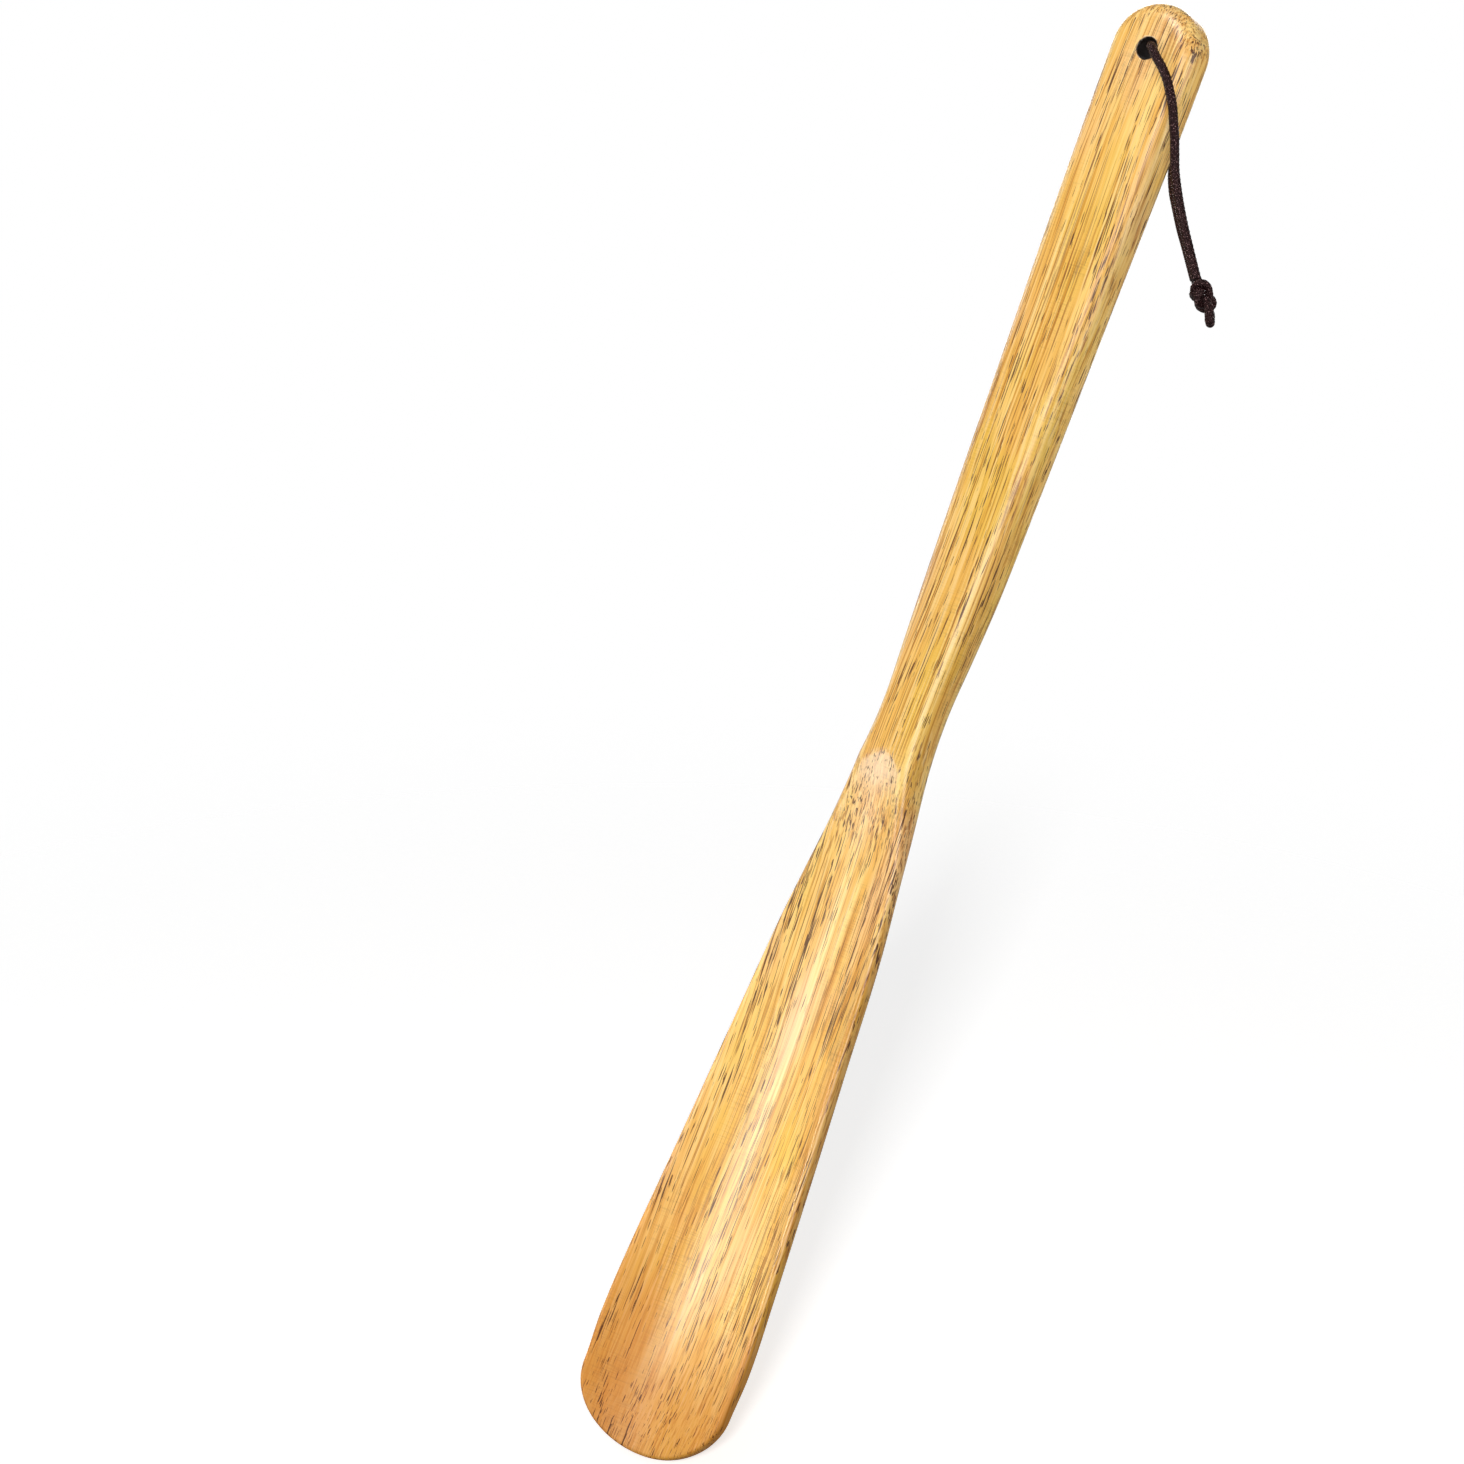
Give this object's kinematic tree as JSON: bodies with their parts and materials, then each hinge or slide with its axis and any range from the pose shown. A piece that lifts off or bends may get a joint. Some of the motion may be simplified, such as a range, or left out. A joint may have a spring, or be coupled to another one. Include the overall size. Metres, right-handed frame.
{
  "type": "long shoehorn",
  "caption": "Long wooden shoehorn: a wide scooped blade narrows to a neck and swells into a flat rounded handle, with a braided hanging cord knotted through a hole at its end.",
  "frame": {"origin": "on the axis of the hanging hole, at the middle of the handle's thickness", "axes": "+Z along the horn towards the handle's rounded end, -Y out of the scooped front, +X to the right as seen from the front, which is the side the cord lies on"},
  "size_m": [0.0659, 0.0197, 0.38],
  "materials": {
    "lacquered_wood": "clear satin to gloss lacquer over straight-grained golden wood",
    "braided_cord": "tight round braid, waxed, dark brown with small glints"
  },
  "bodies": {
    "horn": {"wooden_horn": "lacquered_wood"},
    "cord_loop": {"cord_front_strand": "braided_cord", "cord_back_strand": "braided_cord", "cord_knot": "braided_cord", "cord_front_tail": "braided_cord", "cord_back_tail": "braided_cord"}
  },
  "joints": [
    {"name": "loop_swing", "type": "hinge", "parent": "horn", "child": "cord_loop", "pos_m": [0, 0, 0], "axis": [0, -1, 0], "range_deg": [0, 265]}
  ]
}
